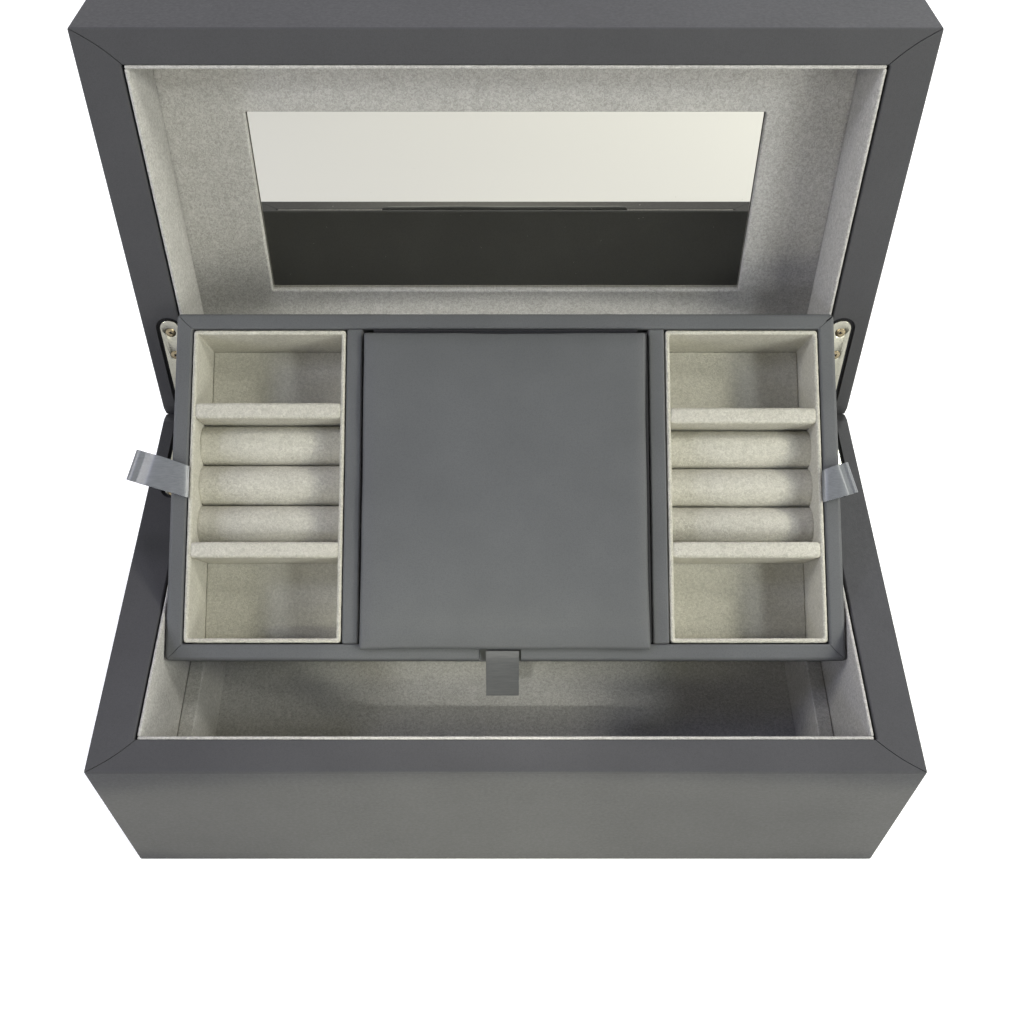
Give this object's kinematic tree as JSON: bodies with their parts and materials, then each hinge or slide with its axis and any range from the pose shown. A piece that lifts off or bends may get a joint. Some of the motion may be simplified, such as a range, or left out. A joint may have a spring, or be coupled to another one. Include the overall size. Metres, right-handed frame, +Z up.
{
  "type": "jewelry box",
  "caption": "Tabletop jewelry box in grey leatherette with a mirror lid on side-rail hinges and a lift-out ring tray with a padded centre lid.",
  "frame": {"origin": "centre of the base's underside, on the felt", "axes": "+X to the right seen from the front, +Y to the back, +Z up"},
  "size_m": [0.3, 0.2368, 0.2518],
  "materials": {
    "leatherette": "matte fine-grained leatherette over board",
    "tray_leatherette": "matte fine-grained leatherette over board",
    "suede_warm": "short suede",
    "suede_base": "short suede",
    "satin": "satin ribbon",
    "nickel": "satin nickel plating",
    "screw": "plated brass",
    "mirror": "silvered glass",
    "board": "raw fibreboard",
    "backing": "black card",
    "felt": "black felt"
  },
  "bodies": {
    "base": {"base_front_wall": "leatherette", "base_back_wall": "leatherette", "base_left_wall": "leatherette", "base_right_wall": "leatherette", "base_bottom_board": "board", "base_felt": "felt", "base_floor_pad": "suede_base", "base_front_lining": "suede_base", "base_back_lining": "suede_base", "base_left_lining": "suede_base", "base_right_lining": "suede_base", "left_ledge": "suede_base", "right_ledge": "suede_base", "base_left_hinge_leaf": "nickel", "base_right_hinge_leaf": "nickel", "hinge_pins": "nickel", "base_hinge_screws": "screw"},
    "lid": {"lid_front_wall": "leatherette", "lid_back_wall": "leatherette", "lid_left_wall": "leatherette", "lid_right_wall": "leatherette", "lid_top_board": "board", "lid_top_pad": "leatherette", "lid_front_lining": "suede_warm", "lid_back_lining": "suede_warm", "lid_left_lining": "suede_warm", "lid_right_lining": "suede_warm", "mirror_panel": "suede_warm", "mirror_glass": "mirror", "mirror_backing": "backing", "lid_left_hinge_leaf": "nickel", "lid_right_hinge_leaf": "nickel", "lid_hinge_screws": "screw"},
    "tray": {"tray_front_rail": "tray_leatherette", "tray_back_rail": "tray_leatherette", "tray_left_rail": "tray_leatherette", "tray_right_rail": "tray_leatherette", "left_divider": "tray_leatherette", "right_divider": "tray_leatherette", "tray_bottom_board": "board", "left_liner_walls": "suede_warm", "left_liner_floor": "suede_warm", "left_liner_bars": "suede_warm", "left_ring_rolls": "suede_warm", "right_liner_walls": "suede_warm", "right_liner_floor": "suede_warm", "right_liner_bars": "suede_warm", "right_ring_rolls": "suede_warm", "centre_liner_walls": "suede_warm", "centre_liner_floor": "suede_warm"},
    "centre_lid": {"centre_lid_board": "board", "centre_lid_pad": "tray_leatherette", "centre_lid_suede": "suede_warm", "centre_hinge_tape": "tray_leatherette", "pull_tab_seam": "satin"},
    "left_loop": {"left_ribbon_loop": "satin"},
    "right_loop": {"right_ribbon_loop": "satin"},
    "pull_tab": {"pull_tab": "satin"}
  },
  "joints": [
    {"name": "lid_hinge", "type": "hinge", "parent": "base", "child": "lid", "pos_m": [0, 0.0838, 0.08415], "axis": [-1, 0, 0], "range_deg": [-99, 0]},
    {"name": "tray_lift", "type": "slide", "parent": "base", "child": "tray", "axis": [0, -0.766, 0.6428], "range_m": [0, 0.35]},
    {"name": "centre_lid_hinge", "type": "hinge", "parent": "tray", "child": "centre_lid", "pos_m": [0, 0.07793, 0.14036], "axis": [-1, 0, 0], "range_deg": [0, 100]},
    {"name": "left_loop_swing", "type": "hinge", "parent": "tray", "child": "left_loop", "pos_m": [-0.1251, 0.02562, 0.11158], "axis": [0, 0.8712, 0.4909], "range_deg": [0, 90]},
    {"name": "right_loop_swing", "type": "hinge", "parent": "tray", "child": "right_loop", "pos_m": [0.1251, 0.02562, 0.11158], "axis": [0, -0.8712, -0.4909], "range_deg": [0, 90]},
    {"name": "pull_tab_swing", "type": "hinge", "parent": "centre_lid", "child": "pull_tab", "pos_m": [-0.0012, -0.03289, 0.07792], "axis": [-1, 0, 0], "range_deg": [0, 75]}
  ],
  "couplings": [
    {"joint": "tray_lift", "follows": "lid_hinge", "m_per_rad": -0.20256}
  ]
}
